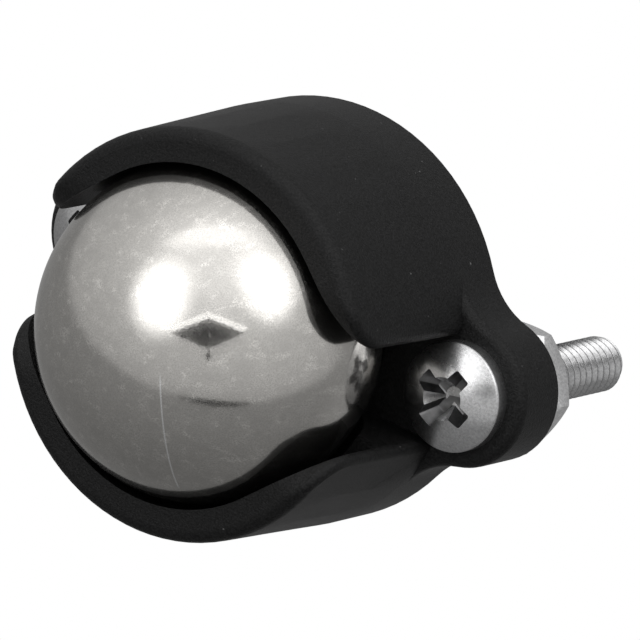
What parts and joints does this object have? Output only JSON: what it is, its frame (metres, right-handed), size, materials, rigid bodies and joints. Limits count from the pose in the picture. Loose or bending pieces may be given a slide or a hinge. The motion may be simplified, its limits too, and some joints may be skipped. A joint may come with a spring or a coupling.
{
  "type": "ball castor",
  "caption": "Small ball castor: a steel ball snapped into a black moulded cup with two ears, with pan head screws and hex nuts",
  "frame": {"origin": "the middle of the flat mounting face, on the ball's axis, halfway between the two screws", "axes": "+Z points out of the mounting face, away from the ball; X runs along the line of the two screws; Y runs across it, from flap to flap"},
  "size_m": [0.0216, 0.0156, 0.0211],
  "materials": {
    "black_plastic": "fine grain, semi-matte",
    "polished_steel": "polished, lightly scratched",
    "plated_steel": "bright zinc plated"
  },
  "bodies": {
    "housing": {"housing": "black_plastic", "screw_right": "plated_steel", "screw_left": "plated_steel", "nut_right": "plated_steel", "nut_left": "plated_steel"},
    "ball": {"ball": "polished_steel"}
  },
  "joints": [
    {"name": "ball_roll", "type": "hinge", "parent": "housing", "child": "ball", "pos_m": [0, 0, -0.0074], "axis": [1, 0, 0], "continuous": true}
  ]
}
